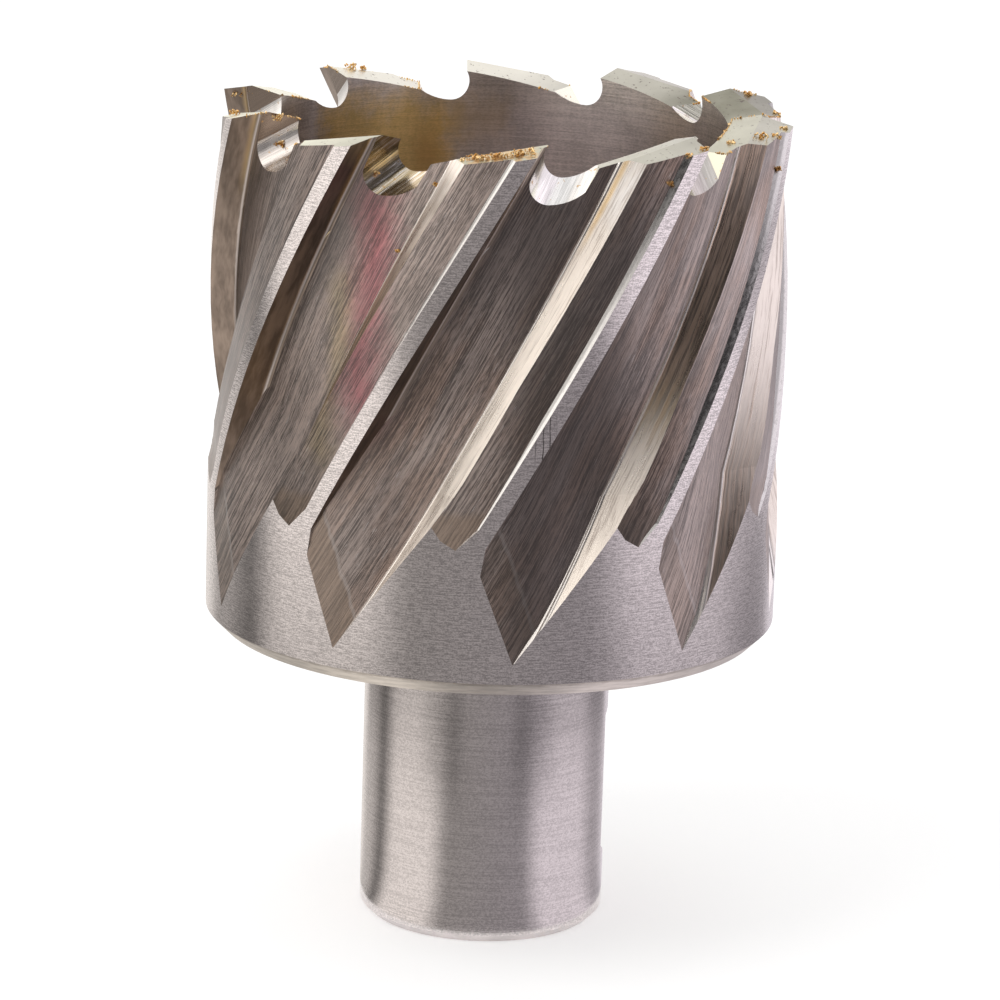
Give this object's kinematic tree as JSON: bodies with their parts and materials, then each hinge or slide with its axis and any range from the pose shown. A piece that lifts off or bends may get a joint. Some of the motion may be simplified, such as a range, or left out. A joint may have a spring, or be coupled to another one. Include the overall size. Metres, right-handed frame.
{
  "type": "annular cutter",
  "caption": "Hollow steel cutter for wide holes: a toothed ring with helical flutes on a plain shank with flats and a pin bore.",
  "frame": {"origin": "middle of the shank's end face, on the cutter's axis", "axes": "+Z along the cutter's axis from the shank's end to the teeth, -Y towards the viewer"},
  "size_m": [0.044, 0.044, 0.0641],
  "materials": {
    "steel": "ground tool steel, brushed along the flutes"
  },
  "bodies": {
    "root": {"annular_cutter": "steel"}
  },
  "joints": []
}
